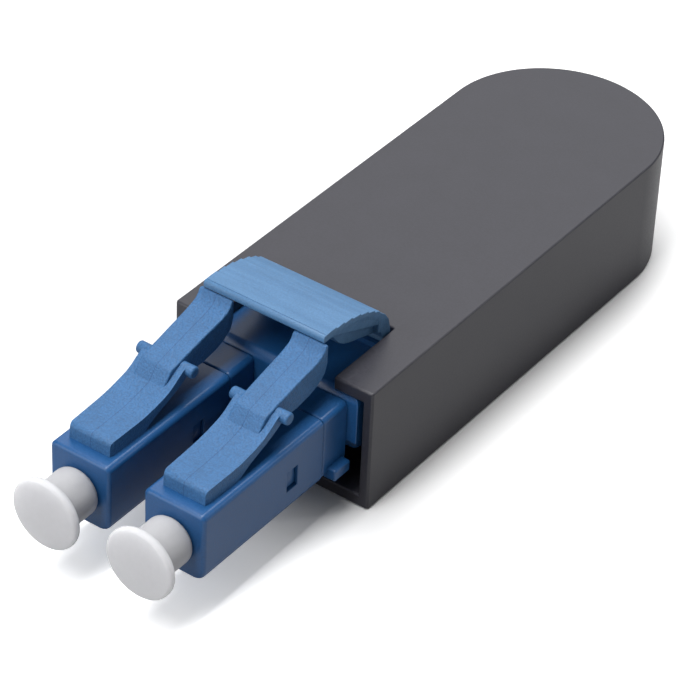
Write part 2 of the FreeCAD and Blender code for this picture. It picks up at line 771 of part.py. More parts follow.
def make_dust_cap(side, sign):
    """The push-on cap: a domed disc, a round stem against the nose and a hollow insert."""
    cap = new_body("dust_cap_" + side, **plug_place(sign))
    crown = "(-nose_reach - cap_reach)"
    rim_front = "(-nose_reach - cap_reach + cap_dome)"
    disc_back = "(-nose_reach - cap_reach + cap_dome + cap_disc_thickness)"
    seat = "(-nose_reach - snap_gap)"
    insert_end = "(-nose_reach + cap_insert)"
    inside = "ferrule_radius + running_gap"
    blind = "(-%s - running_gap * 4)" % FERRULE_TIP
    flat = "(cap_disc_radius - cap_rim_round)"
    dome = "((%s * %s + cap_dome * cap_dome) / (2 * cap_dome))" % (flat, flat)
    sketch = draw(new_sketch(cap, side + "_cap_profile", "YZ"), [
        (crown, "0"),
        (blind, "0"),
        (blind, inside),
        (insert_end, inside),
        (insert_end, "cap_insert_radius"),
        (seat, "cap_insert_radius"),
        (seat, "cap_stem_radius - cap_stem_round",
         seat + " - cap_stem_round", "cap_stem_radius - cap_stem_round", 1),
        (seat + " - cap_stem_round", "cap_stem_radius"),
        (disc_back + " + cap_neck_round", "cap_stem_radius",
         disc_back + " + cap_neck_round", "cap_stem_radius + cap_neck_round", -1),
        (disc_back, "cap_stem_radius + cap_neck_round"),
        (disc_back, flat, disc_back + " - cap_rim_round", flat, 1),
        (disc_back + " - cap_rim_round", "cap_disc_radius"),
        (rim_front + " + cap_rim_round", "cap_disc_radius", rim_front + " + cap_rim_round", flat, 1),
        (rim_front, flat, crown + " + " + dome, "0", 1),
    ])
    turn(cap, sketch)


def make_fiber_loop():
    """The buffered fibre: out of one plug, round a loop in the case's rounded end and back."""
    fiber = new_body("fiber_loop", y="0", z="plug_axis_rise")
    plug = "(plug_pitch / 2)"
    start = "(-case_length / 2 - %s + float_travel + running_gap * 6)" % FERRULE_TAIL
    bend = "(-case_length / 2 + loop_spread_start)"
    swing = "((%s - plug_pitch / 2) / (2 * (1 - cos(loop_spread_angle * 1 deg))))" % LOOP_RADIUS
    middle_x = "((plug_pitch / 2 + %s) / 2)" % LOOP_RADIUS
    middle_y = "(%s + %s * sin(loop_spread_angle * 1 deg))" % (bend, swing)
    spread = "(%s + 2 * %s * sin(loop_spread_angle * 1 deg))" % (bend, swing)
    route = [
        (plug, start),
        (plug, bend, plug + " + " + swing, bend, -1),
        (middle_x, middle_y, LOOP_RADIUS + " - " + swing, spread, 1),
        (LOOP_RADIUS, spread),
        (LOOP_RADIUS, ROUND_CENTRE, "0", ROUND_CENTRE, 1),
        ("-" + LOOP_RADIUS, ROUND_CENTRE),
        ("-" + LOOP_RADIUS, spread, "-" + LOOP_RADIUS + " + " + swing, spread, 1),
        ("-" + middle_x, middle_y, "-(" + plug + " + " + swing + ")", bend, -1),
        ("-" + plug, bend),
        ("-" + plug, start),
    ]
    spine = draw(new_sketch(fiber, "loop_route", "XY"), route, closed=False)
    section = draw_circle(new_sketch(fiber, "loop_section", "XZ", "-" + start), plug, "0", "fiber_radius")
    doc.recompute()
    pipe = fiber.newObject("PartDesign::AdditivePipe", "loop_pipe")
    pipe.Profile = section
    pipe.Spine = (spine, ["Edge%d" % (i + 1) for i in range(len(route) - 1)])
    doc.recompute()


make_case()
make_clip()
make_trigger()
for side, sign in SIDES.items():
    make_plug_housing(side, sign)
    make_rear_body(side, sign)
    make_ferrule(side, sign)
    make_ferrule_holder(side, sign)
    make_spring(side, sign)
    make_crimp_sleeve(side, sign)
    make_lever(side, sign)
    make_dust_cap(side, sign)
make_fiber_loop()

doc.recompute()
for item in doc.Objects:
    if "Invalid" in item.State or "Error" in item.State:
        raise RuntimeError(item.Name + " failed to build")
for body in bodies:
    if body.Shape.isNull() or not body.Shape.isValid() or len(body.Shape.Solids) != 1:
        raise RuntimeError(body.Label + " is not one sound solid")

os.makedirs("parts", exist_ok=True)
for body in bodies:
    body.Shape.exportStep("parts/" + body.Label + ".step")
    print(body.Label, round(body.Shape.Volume, 3))
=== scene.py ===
import math
import bpy
import bmesh
from mathutils import Matrix, Vector


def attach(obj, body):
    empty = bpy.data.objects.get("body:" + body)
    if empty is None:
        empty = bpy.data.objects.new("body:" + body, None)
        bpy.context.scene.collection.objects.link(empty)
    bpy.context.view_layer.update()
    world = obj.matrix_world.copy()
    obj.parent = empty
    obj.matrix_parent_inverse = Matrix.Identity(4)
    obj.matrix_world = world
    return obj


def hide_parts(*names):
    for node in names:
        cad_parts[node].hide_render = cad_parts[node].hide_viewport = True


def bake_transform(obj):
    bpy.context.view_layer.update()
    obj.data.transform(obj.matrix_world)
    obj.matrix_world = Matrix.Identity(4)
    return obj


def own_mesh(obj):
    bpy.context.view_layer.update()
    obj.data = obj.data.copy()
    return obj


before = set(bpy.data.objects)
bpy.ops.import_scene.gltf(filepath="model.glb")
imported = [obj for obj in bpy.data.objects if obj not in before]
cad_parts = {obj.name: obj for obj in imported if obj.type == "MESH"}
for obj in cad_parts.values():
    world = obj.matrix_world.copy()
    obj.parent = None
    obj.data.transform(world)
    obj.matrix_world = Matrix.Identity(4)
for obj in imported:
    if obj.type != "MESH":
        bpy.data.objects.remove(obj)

MM = 0.001             # the pieces' measures are in millimetres
SIDES = {"left": -1, "right": 1}
MOUTH = -17.0          # the case's open end, along Y
PITCH = 3.125          # each plug's distance from the middle, along X
AXIS = 4.62            # height of the fibre's axis
PLUG_TOP = 6.8
NOSE = MOUTH - 12.45   # the plugs' front faces
SEAM = MOUTH - 2.2     # where a plug's body ends and its rear half starts
SPRING_FRONT, SPRING_BACK = -24.96, -22.57
HINGE = (MOUTH + 4.92, 7.55)    # the trigger's axis: Y, Z

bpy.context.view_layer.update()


# Workshop: small helpers for selecting, shaping and finishing a mesh.

def clear():
    if bpy.context.mode != "OBJECT":
        bpy.ops.object.mode_set(mode="OBJECT")
    bpy.ops.object.select_all(action="DESELECT")


def at(x, y, z):
    """A place in metres from one in millimetres."""
    return (x * MM, y * MM, z * MM)


def keep(name):
    """Names the new primitive and puts its place and size into its mesh."""
    piece = bpy.context.object
    piece.name = piece.data.name = name
    bpy.ops.object.transform_apply(location=True, rotation=True, scale=True)
    return piece


def block(name, low, high):
    """A box between two corners, in millimetres."""
    clear()
    middle = [(a + b) / 2 for a, b in zip(low, high)]
    bpy.ops.mesh.primitive_cube_add(size=1, location=at(*middle))
    bpy.context.object.scale = [(b - a) * MM for a, b in zip(low, high)]
    return keep(name)


def rod(name, middle, radius, length, along="Y", sides=64):
    """A round bar along X, Y or Z."""
    clear()
    turn = {"X": (0, math.pi / 2, 0), "Y": (math.pi / 2, 0, 0), "Z": (0, 0, 0)}[along]
    bpy.ops.mesh.primitive_cylinder_add(
        vertices=sides, radius=radius * MM, depth=length * MM, location=at(*middle), rotation=turn)
    return keep(name)


def choose(piece):
    clear()
    piece.select_set(True)
    bpy.context.view_layer.objects.active = piece


def edit(piece):
    choose(piece)
    bpy.ops.object.mode_set(mode="EDIT")


def pick(piece, kind, wanted):
    """Selects the corners, edges or faces that pass the test."""
    bpy.ops.mesh.select_mode(type=kind)
    bpy.ops.mesh.select_all(action="DESELECT")
    mesh = bmesh.from_edit_mesh(piece.data)
    layer = {"VERT": mesh.verts, "EDGE": mesh.edges, "FACE": mesh.faces}[kind]
    for item in layer:
        item.select_set(bool(wanted(item)))
    mesh.select_flush_mode()
    bmesh.update_edit_mesh(piece.data)


def place(vert):
    """Where a corner lies, in millimetres."""
    return vert.co / MM


def both_ends(edge, wanted):
    return all(wanted(place(v)) for v in edge.verts)


def near(a, b, slack=0.002):
    return abs(a - b) < slack


def slide(x, y, z):
    bpy.ops.transform.translate(value=at(x, y, z))


def runs_along(edge, axis):
    start, end = (place(v) for v in edge.verts)
    i = "XYZ".index(axis)
    return near((end - start).length, abs(end[i] - start[i]))


def move_out(x, y, z):
    """Draws the selected faces out by a distance."""
    bpy.ops.mesh.extrude_region_move(TRANSFORM_OT_translate={"value": at(x, y, z)})


def turn_faces_out():
    bpy.ops.mesh.select_all(action="SELECT")
    bpy.ops.mesh.normals_make_consistent(inside=False)


def round_edges(piece, width, steps, wanted, along=None):
    """Rounds the edges whose two ends both pass the test, or of these the ones along one axis."""
    edit(piece)
    pick(piece, "EDGE", lambda e: both_ends(e, wanted) and (along is None or runs_along(e, along)))
    bpy.ops.mesh.bevel(offset=width * MM, offset_type="OFFSET", segments=steps, affect="EDGES")
    clear()


def press(piece, kind, name, **settings):
    """Adds a modifier and applies it."""
    choose(piece)
    bpy.ops.object.modifier_add(type=kind)
    tool = piece.modifiers[-1]
    tool.name = name
    for key, value in settings.items():
        setattr(tool, key, value)
    bpy.ops.object.modifier_apply(modifier=tool.name)


def cut(piece, cutter):
    press(piece, "BOOLEAN", "cut", operation="DIFFERENCE", solver="EXACT", object=cutter)
    bpy.data.objects.remove(cutter)


def soften(piece, width, steps, angle=40):
    """Breaks the sharp edges; the flat faces between them stay flat."""
    press(piece, "BEVEL", "edge", width=width * MM, segments=steps, limit_method="ANGLE",
          angle_limit=math.radians(angle))
    smooth(piece, angle)
    press(piece, "WEIGHTED_NORMAL", "flat faces", keep_sharp=True)


def smooth(piece, angle):
    choose(piece)
    bpy.ops.object.shade_smooth_by_angle(angle=math.radians(angle))


def join(name, *shells):
    clear()
    for shell in shells:
        shell.select_set(True)
    bpy.context.view_layer.objects.active = shells[0]
    bpy.ops.object.join()
    shells[0].name = shells[0].data.name = name
    return shells[0]


def draw_out(name, centre, stations):
    """A bar across the plugs, drawn out face by face. Each station is the end face's
    top edge (y, z), its bottom edge (y, z) and half its width."""
    (ty, tz), (by, bz), half = stations[0]
    clear()
    bpy.ops.mesh.primitive_plane_add(
        size=2 * MM, location=at(centre, 0, 0), rotation=(math.pi / 2, 0, 0))
    piece = keep(name)
    edit(piece)
    pick(piece, "VERT", lambda v: v.co.z > 0)
    slide(0, ty, tz - 1)
    pick(piece, "VERT", lambda v: v.co.z < -0.9 * MM and near(place(v).y, 0))
    slide(0, by, bz + 1)
    bpy.ops.mesh.select_all(action="SELECT")
    bpy.ops.transform.resize(value=(half, 1, 1), center_override=at(centre, 0, 0))
    for (ny, nz), (my, mz), wide in stations[1:]:
        move_out(0, ny - ty, nz - tz)
        low_y, low_z = by + ny - ty, bz + nz - tz
        pick(piece, "VERT", lambda v: near(place(v).y, low_y) and near(place(v).z, low_z))
        slide(0, my - low_y, mz - low_z)
        pick(piece, "VERT", lambda v: (near(place(v).y, ny) and near(place(v).z, nz))
             or (near(place(v).y, my) and near(place(v).z, mz)))
        bpy.ops.transform.resize(value=(wide / half, 1, 1), center_override=at(centre, 0, 0))
        bpy.ops.mesh.select_mode(type="FACE")
        (ty, tz), (by, bz), half = (ny, nz), (my, mz), wide
    turn_faces_out()
    clear()
    return piece


def from_mouth(way, rows):
    """Stations from rows of top y, z, bottom y, z and half width; y counts from the case's mouth,
    forwards with -1 and back with 1."""
    return [((MOUTH + way * ty, tz), (MOUTH + way * by, bz), half) for ty, tz, by, bz, half in rows]


def turned(name, centre, stations, sides=96):
    """A round piece along the plug's axis, drawn out ring by ring: (y, radius)."""
    y, radius = stations[0]
    clear()
    bpy.ops.mesh.primitive_circle_add(
        vertices=sides, radius=radius * MM, fill_type="NGON",
        location=at(centre, y, AXIS), rotation=(math.pi / 2, 0, 0))
    piece = keep(name)
    edit(piece)
    bpy.ops.mesh.select_all(action="SELECT")
    for next_y, next_radius in stations[1:]:
        move_out(0, next_y - y, 0)
        grow = next_radius / radius
        bpy.ops.transform.resize(value=(grow, 1, grow), center_override=at(centre, next_y, AXIS))
        y, radius = next_y, next_radius
    turn_faces_out()
    clear()
    return piece


# Case.

CASE_HALF = 6.65       # half its width, and the radius of its round end
CASE_TOP = 7.95
ROUND_CENTRE = 10.35   # the middle of the round end, along Y
HOLLOW_DEPTH = 25
NOTCH_HALF, NOTCH_BACK, NOTCH_FLOOR = 4.09, MOUTH + 5.52, 7.1


def make_case():
    """The black case: half round at the back, open at the front, notched over the trigger."""
    mouth_round, notch_round, edge_round = 0.16, 0.12, 0.11
    rim = 0.42                                # how far the opening is inset
    inset_half, inset_tall = 5.93, 3.555      # the half opening that the inset leaves
    hollow_half, hollow_tall = 5.9, 3.3       # the half opening between the walls
    hollow_middle = 4.0
    case = rod("case_shell", (0, ROUND_CENTRE, CASE_TOP / 2), CASE_HALF, CASE_TOP,
               along="Z", sides=192)
    edit(case)
    bpy.ops.mesh.select_all(action="SELECT")
    bpy.ops.mesh.bisect(plane_co=at(0, ROUND_CENTRE, 0), plane_no=(0, 1, 0),
                        clear_inner=True, use_fill=True)
    pick(case, "FACE", lambda f: f.normal.y < -0.9)
    move_out(0, MOUTH - ROUND_CENTRE, 0)
    clear()
    round_edges(case, mouth_round, 4, lambda p: near(p.y, MOUTH) and abs(p.x) > hollow_half)
    edit(case)
    pick(case, "FACE", lambda f: f.normal.y < -0.9 and near(f.calc_center_median().y / MM, MOUTH))
    bpy.ops.mesh.inset(thickness=rim * MM)
    bpy.ops.transform.resize(value=(hollow_half / inset_half, 1, hollow_tall / inset_tall),
                             center_override=at(0, MOUTH, hollow_middle))
    move_out(0, HOLLOW_DEPTH, 0)
    clear()
    notch = block("notch", (-NOTCH_HALF, MOUTH - 1, NOTCH_FLOOR), (NOTCH_HALF, NOTCH_BACK, 9))
    round_edges(notch, notch_round, 4, lambda p: near(p.y, NOTCH_BACK), along="Z")
    cut(case, notch)
    soften(case, edge_round, 3)
    return case


# Plugs, the frame that joins them, and their levers.

PLUG_HALF, PLUG_FOOT = 1.99, PLUG_TOP - 4.36
REAR_HALF, REAR_FOOT, REAR_TOP = 1.94, PLUG_TOP - 4.31, PLUG_TOP - 0.05
WINDOW_FRONT, WINDOW_BACK = MOUTH - 5.36, MOUTH - 4.44
TAB_FRONT, TAB_BACK, TAB_HALF = MOUTH - 5.32, MOUTH - 4.48, 1.81
TAIL_BORE, FIBRE_BORE = 0.95, 0.48


def make_housing(side, x):
    """A plug body: square, with rounder lower edges, a soft nose, a mouth and a side window."""
    foot_round, top_round, nose_round, seam_round, edge_round = 0.7, 0.35, 0.24, 0.08, 0.05
    mouth_radius, mouth_length = 1.03, 4.3
    body = block("housing_" + side, (x - PLUG_HALF, NOSE, PLUG_FOOT), (x + PLUG_HALF, SEAM, PLUG_TOP))
    round_edges(body, foot_round, 8, lambda p: near(p.z, PLUG_FOOT), along="Y")
    round_edges(body, top_round, 6, lambda p: near(p.z, PLUG_TOP), along="Y")
    round_edges(body, nose_round, 6, lambda p: near(p.y, NOSE))
    cut(body, rod("mouth", (x, NOSE, AXIS), mouth_radius, mouth_length))
    cut(body, block("window", (x - 3, WINDOW_FRONT, 3.94), (x + 3, WINDOW_BACK, 5.27)))
    round_edges(body, seam_round, 3, lambda p: near(p.y, SEAM))
    soften(body, edge_round, 2)
    return body


def make_rear_body(side, sign):
    """The plug's back half: its section behind the seam, the spigot, neck, collar, post and rail."""
    x, front, back = sign * PITCH, MOUTH - 2.12, MOUTH - 0.05
    foot_round, top_round, front_round, collar_round, rail_round = 0.66, 0.33, 0.16, 0.5, 0.12
    section = block("section", (x - REAR_HALF, front, REAR_FOOT), (x + REAR_HALF, back, REAR_TOP))
    round_edges(section, foot_round, 8, lambda p: near(p.z, REAR_FOOT), along="Y")
    round_edges(section, top_round, 6, lambda p: near(p.z, REAR_TOP), along="Y")
    round_edges(section, front_round, 4, lambda p: near(p.y, front))
    soften(section, 0.03, 2)
    spigot = rod("spigot", (x, MOUTH - 3.33, AXIS), 1.52, 4.44)
    neck = rod("neck", (x, MOUTH + 0.5, AXIS), 1.6, 1.3)
    collar = block("collar", (x - REAR_HALF, MOUTH + 1.05, REAR_FOOT),
                   (x + REAR_HALF, MOUTH + 2.25, REAR_TOP))
    round_edges(collar, collar_round, 6, lambda p: True)
    post = rod("post", (x, MOUTH + 4.4, AXIS), 1.15, 4.5)
    tab = block("tab", (x - TAB_HALF, TAB_FRONT, 4.03), (x + TAB_HALF, TAB_BACK, 5.17))
    soften(tab, 0.06, 2)
    inner, outer = sorted((x + sign * 1.64, x + sign * 2.49))
    rail = block("rail", (inner, MOUTH - 1.68, 2.52), (outer, MOUTH - 0.3, 3.24))
    soften(rail, rail_round, 4)
    shells = [section, spigot, neck, collar, post, tab]
    for shell in shells:
        # The spigot and its tab have room for the holder's tail, the rest only for the fibre.
        wide = shell is spigot or shell is tab
        middle, radius, length = (MOUTH - 3.5, TAIL_BORE, 8) if wide else (MOUTH, FIBRE_BORE, 20)
        cut(shell, rod("bore", (x, middle, AXIS), radius, length, sides=32))
    return join("rear_" + side, *shells, rail)


SADDLE = 1.63          # radius of the clip's seat round a neck
CLIP_HALF, CLIP_WALL = 5.7, 0.6
CLIP_LOW, CLIP_HIGH = 4.1, 7.2


def make_clip():
    """The frame over both plugs: a channel open below, its front wall with a saddle for each neck."""
    clip = block("clip_frame", (-CLIP_HALF, MOUTH, CLIP_LOW), (CLIP_HALF, MOUTH + 9, CLIP_HIGH))
    round_edges(clip, 0.55, 8, lambda p: near(p.z, CLIP_HIGH))
    inside = CLIP_HALF - CLIP_WALL
    cut(clip, block("channel", (-inside, MOUTH + 0.9, 3), (inside, MOUTH + 10, PLUG_TOP)))
    for sign in SIDES.values():
        x = sign * PITCH
        cut(clip, rod("saddle", (x, MOUTH, AXIS), SADDLE, 3))
        cut(clip, block("saddle_foot", (x - SADDLE, MOUTH - 1, 3), (x + SADDLE, MOUTH + 1, AXIS)))
    soften(clip, 0.06, 3)
    shells = [clip]
    for sign in SIDES.values():
        inner, outer = sorted((sign * 5.69, sign * 5.88))
        pad = block("pad", (inner, MOUTH + 2.5, 5.05), (outer, MOUTH + 7.5, 6.65))
        soften(pad, 0.05, 2)
        shells.append(pad)
    boss = block("boss", (-4, HINGE[0] - 0.75, 7.0), (4, HINGE[0] + 0.75, HINGE[1]))
    cut(boss, rod("socket", (0, *HINGE), 0.41, 12, along="X", sides=48))
    soften(boss, 0.03, 2)
    return join("clip", *shells, boss)


def make_lever(side, x):
    """The latch lever with the raised block it grows from, all one moulding."""
    plate = draw_out("plate", x, from_mouth(-1, [
        (11.56, 7.68, 11.62, 6.6, 1.36),
        (11.3, 7.7, 11.3, 6.6, 1.42),
        (9.6, 7.75, 9.6, 6.6, 1.46),
        (9.0, 7.78, 9.0, 6.7, 1.47),
        (8.6, 7.82, 8.6, 6.98, 1.47),
        (7.9, 7.93, 7.9, 7.32, 1.47),
        (7.3, 8.06, 7.25, 7.55, 1.47),
        (6.8, 8.2, 6.6, 7.75, 1.46),
        (6.35, 8.42, 6.0, 7.98, 1.45),
        (5.95, 8.68, 5.55, 8.2, 1.45),
        (5.6, 8.88, 5.25, 8.4, 1.45),
        (5.25, 8.98, 5.05, 8.5, 1.45),
    ]))
    front_round, plate_round, arm_round, lug_round = 0.26, 0.12, 0.09, 0.12
    round_edges(plate, front_round, 6, lambda p: p.y < MOUTH - 11.5 and p.z > 7.6)
    soften(plate, plate_round, 3)
    arm = draw_out("arm", x, from_mouth(-1, [
        (6.84, 8.1, 6.5, 7.7, 1.03),
        (6.1, 8.97, 5.9, 7.8, 1.03),
        (5.2, 9.2, 5.2, 7.9, 1.04),
        (3.4, 9.6, 3.4, 7.92, 1.06),
        (2.4, 9.8, 2.3, 8.12, 1.08),
        (1.8, 9.94, 1.7, 8.35, 1.1),
        (1.35, 10.12, 1.3, 8.6, 1.1),
        (1.12, 10.36, 1.05, 8.8, 1.1),
        (1.0, 10.6, 0.92, 9.2, 1.1),
        (0.8, 10.6, 0.8, 9.5, 1.1),
    ]))
    soften(arm, arm_round, 3, 30)
    lug_radius, lug_length = 0.36, 3.8
    lug = rod("lug", (x, MOUTH - 5.15, 8.69), lug_radius, lug_length, along="X", sides=40)
    soften(lug, lug_round, 4)
    return join("lever_" + side, plate, arm, lug)


# Trigger.

LIP_UNDER = 10.65
LIP_TOP = 11.1
TRIGGER_HALF = 4.0
SHOULDER = HINGE[1] + 0.4      # how low the back's curve comes


def crown(reach, drop):
    """The height of the trigger's quarter-ellipse back at a distance behind the mouth."""
    top_reach, depth = -0.6, 5.9        # where the curve starts, and how far back it comes down
    share = min(1.0, (reach - top_reach) / (depth - drop))
    return (LIP_TOP - SHOULDER - drop) * math.sqrt(1 - share * share) + SHOULDER


def chord(reach):
    """The straight lower edge of the trigger's end walls."""
    return 10.72 - 0.414 * (reach + 0.2)


def make_trigger():
    """The stepped press plate, its end walls, the gusset inside each and the rear roll."""
    front = MOUTH - 0.95
    stations = [
        ((front, LIP_TOP - 0.2), (front, LIP_UNDER + 0.08)),
        ((front + 0.03, LIP_TOP - 0.1), (front + 0.04, LIP_UNDER)),
        ((front + 0.1, LIP_TOP - 0.02), (front + 0.1, LIP_UNDER)),
        ((front + 0.18, LIP_TOP), (front + 0.18, LIP_UNDER)),
        ((front + 0.22, LIP_TOP - 0.09), (front + 0.22, LIP_UNDER)),
        ((front + 0.27, LIP_TOP - 0.01), (front + 0.27, LIP_UNDER)),
        ((MOUTH - 0.3, LIP_TOP), (MOUTH - 0.3, LIP_UNDER)),
    ]
    for step in (0.25, 0.95, 1.7, 2.45, 3.15, 3.75, 4.25):
        under = (MOUTH + step - 0.15, min(LIP_UNDER, crown(step, 0.45)))
        stations.append(((MOUTH + step - 0.08, crown(step - 0.08, 0) + 0.01), under))
        stations.append(((MOUTH + step, crown(step, 0) - 0.09), (under[0] + 0.03, under[1])))
    stations.append(((MOUTH + 4.75, crown(4.75, 0) - 0.02), (MOUTH + 4.1, crown(4.3, 0.9))))
    stations.append(((MOUTH + 5.08, crown(5.08, 0) - 0.03), (MOUTH + 4.35, 8.3)))
    stations.append(((MOUTH + 5.27, 8.05), (MOUTH + 4.5, 7.95)))
    stations.append(((MOUTH + 5.3, 7.6), (MOUTH + 4.6, 7.75)))
    skin = draw_out("skin", 0, [pair + (TRIGGER_HALF,) for pair in stations])
    soften(skin, 0.02, 2, 25)
    roll = rod("roll", (0, *HINGE), 0.38, 2 * TRIGGER_HALF, along="X", sides=40)
    soften(roll, 0.03, 2)
    shells = [skin, roll]
    for sign in SIDES.values():
        reaches = (-0.2, 0.5, 1.2, 1.9, 2.6, 3.3, 3.9, 4.4, 4.8)
        wall = draw_out("end_wall", sign * 3.65, [
            ((MOUTH + r, crown(r, 0.2) if r > 0 else 10.9), (MOUTH + r + 0.02, chord(r) - 0.01), 0.33)
            for r in reaches] + [((MOUTH + 5.15, 8.1), (MOUTH + 4.95, 7.85), 0.33)])
        soften(wall, 0.03, 2)
        gusset = draw_out("gusset", sign * 3.34, from_mouth(1, [
            (0.24, 10.8, 0.24, 10.3, 0.32),
            (0.62, 10.75, 0.6, 9.82, 0.32),
            (1.1, 10.6, 1.0, 9.34, 0.32),
            (1.6, 10.4, 1.5, 9.02, 0.32),
            (2.1, 10.2, 2.05, 8.8, 0.32),
            (2.7, 9.9, 2.75, 8.6, 0.32),
            (3.6, 9.5, 3.6, 8.32, 0.32),
            (4.7, 8.6, 4.5, 8.05, 0.32),
        ]))
        soften(gusset, 0.08, 3, 30)
        shells += [wall, gusset]
    return join("press_plate_skin", *shells)


# Dust caps and springs.

def make_cap(side, x):
    """A push-on cap: a thin domed disc, a round stem against the nose and a hollow insert."""
    front = NOSE - 3.05
    rim, back = front + 0.3, front + 0.44
    disc, edge, stem, foot, hollow = 1.96, 0.18, 1.46, 1.04, 0.655
    stations = [(front + 0.12 * (r / disc) ** 2, r) for r in (0.2, 0.6, 1.0, 1.4, 1.7, 1.88, disc)]
    stations += [(rim - edge * math.cos(a), disc + edge * math.sin(a))
                 for a in (0.3, 0.6, 0.9, 1.2, 1.57)]
    stations += [(back + edge * math.sin(a), disc + edge * math.cos(a))
                 for a in (0.0, 0.3, 0.6, 0.9, 1.2, 1.57)]
    stations += [(back + 0.2 + 0.2 * math.sin(a), stem + 0.2 - 0.2 * math.cos(a))
                 for a in (0.2, 0.6, 1.0, 1.3)]
    stations += [(back + 0.42, stem), (NOSE - 1.2, stem)]
    stations += [(NOSE - 0.44 + 0.42 * math.sin(a), foot + 0.42 * math.cos(a))
                 for a in (0.0, 0.2, 0.4, 0.6, 0.8, 1.0, 1.2, 1.4, 1.55)]
    stations += [(NOSE - 0.01, 1.0), (NOSE + 1.75, 1.0), (NOSE + 1.88, 0.92), (NOSE + 1.9, 0.7),
                 (NOSE + 1.85, hollow), (NOSE - 1.9, hollow), (NOSE - 1.92, 0.3)]
    cap = turned("cap_" + side, x, stations)
    smooth(cap, 50)
    return cap


def make_spring(side, x):
    """The coil spring behind the ferrule: one ring of wire, wound five times round the axis."""
    wire, coil_radius, rise = 0.12, 0.965, 0.428
    clear()
    bpy.ops.mesh.primitive_circle_add(vertices=12, radius=wire * MM, location=at(coil_radius, 0, 0))
    coil = keep("coil_" + side)
    press(coil, "SCREW", "winding", axis="Y", screw_offset=rise * MM, iterations=5,
          steps=28, render_steps=28)
    edit(coil)
    bpy.ops.mesh.select_all(action="SELECT")
    bpy.ops.mesh.fill_holes(sides=0)
    turn_faces_out()
    choose(coil)
    coil.location = at(x, SPRING_FRONT + 0.125, AXIS)      # the first turn rests on the holder
    bpy.ops.object.transform_apply(location=True)
    smooth(coil, 50)
    return coil


# Finishes.

SHADER = "Principled BSDF"


def new_finish(name, colour, roughness):
    """A finish with its shader, and the piece's own coordinates."""
    finish = bpy.data.materials.new(name)
    finish.use_nodes = True
    nodes, links = finish.node_tree.nodes, finish.node_tree.links
    shader = nodes[SHADER]
    shader.inputs["Base Color"].default_value = (*colour, 1)
    shader.inputs["Roughness"].default_value = roughness
    spot = nodes.new("ShaderNodeTexCoord").outputs["Object"]
    return finish, nodes, links, shader, spot


def opened(finish):
    """The parts of a finish that is already made, to add to it."""
    nodes, links = finish.node_tree.nodes, finish.node_tree.links
    spot = next(n for n in nodes if n.type == "TEX_COORD").outputs["Object"]
    return nodes, links, nodes[SHADER], spot


def grain(nodes, links, spot, scale, detail):
    noise = nodes.new("ShaderNodeTexNoise")
    noise.inputs["Scale"].default_value = scale
    noise.inputs["Detail"].default_value = detail
    links.new(spot, noise.inputs["Vector"])
    return noise.outputs["Fac"]


def ramp(nodes, links, value, stops):
    table = nodes.new("ShaderNodeValToRGB")
    for i, (where, colour) in enumerate(stops):
        stop = table.color_ramp.elements[i]
        stop.position = where
        stop.color = (*colour, 1)
    links.new(value, table.inputs["Fac"])
    return table.outputs["Color"]


def reckon(nodes, links, operation, *values):
    """A sum on the outputs of other nodes and on plain numbers."""
    node = nodes.new("ShaderNodeMath")
    node.operation = operation
    for socket, value in zip(node.inputs, values):
        if isinstance(value, (int, float)):
            socket.default_value = value
        else:
            links.new(value, socket)
    return node.outputs[0]


def mapped(nodes, links, value, start, end, low=0.0, high=1.0, kind="LINEAR"):
    """Takes the range from start to end over into the range from low to high."""
    node = nodes.new("ShaderNodeMapRange")
    node.interpolation_type = kind
    links.new(value, node.inputs["Value"])
    for name, number in (("From Min", start), ("From Max", end), ("To Min", low), ("To Max", high)):
        node.inputs[name].default_value = number
    return node.outputs[0]


def coordinate(nodes, links, spot, axis):
    """One of the three coordinates."""
    parts = nodes.new("ShaderNodeSeparateXYZ")
    links.new(spot, parts.inputs[0])
    return parts.outputs[axis]


def graded(nodes, links, value, start, end, low, high):
    """A tone that goes softly from low to high between two places, in millimetres."""
    return mapped(nodes, links, value, start * MM, end * MM, low, high, kind="SMOOTHSTEP")


def dents(nodes, links, height, depth, under=None):
    """A bump of the given depth in millimetres, over another bump where one is given."""
    bump = nodes.new("ShaderNodeBump")
    bump.inputs["Distance"].default_value = depth * MM
    bump.inputs["Strength"].default_value = 1.0
    links.new(height, bump.inputs["Height"])
    if under:
        links.new(under, bump.inputs["Normal"])
    return bump.outputs["Normal"]


def tint(nodes, links, shader, by, share=1):
    """Multiplies the finish's colour by a colour or a tone; the share may be a node's output."""
    mixed = nodes.new("ShaderNodeMix")
    mixed.data_type = "RGBA"
    mixed.blend_type = "MULTIPLY"
    own, other = mixed.inputs[6], mixed.inputs[7]
    links.new(shader.inputs["Base Color"].links[0].from_socket, own)
    for socket, value in ((mixed.inputs["Factor"], share), (other, by)):
        if isinstance(value, (int, float, tuple)):
            socket.default_value = value
        else:
            links.new(value, socket)
    links.new(mixed.outputs[2], shader.inputs["Base Color"])


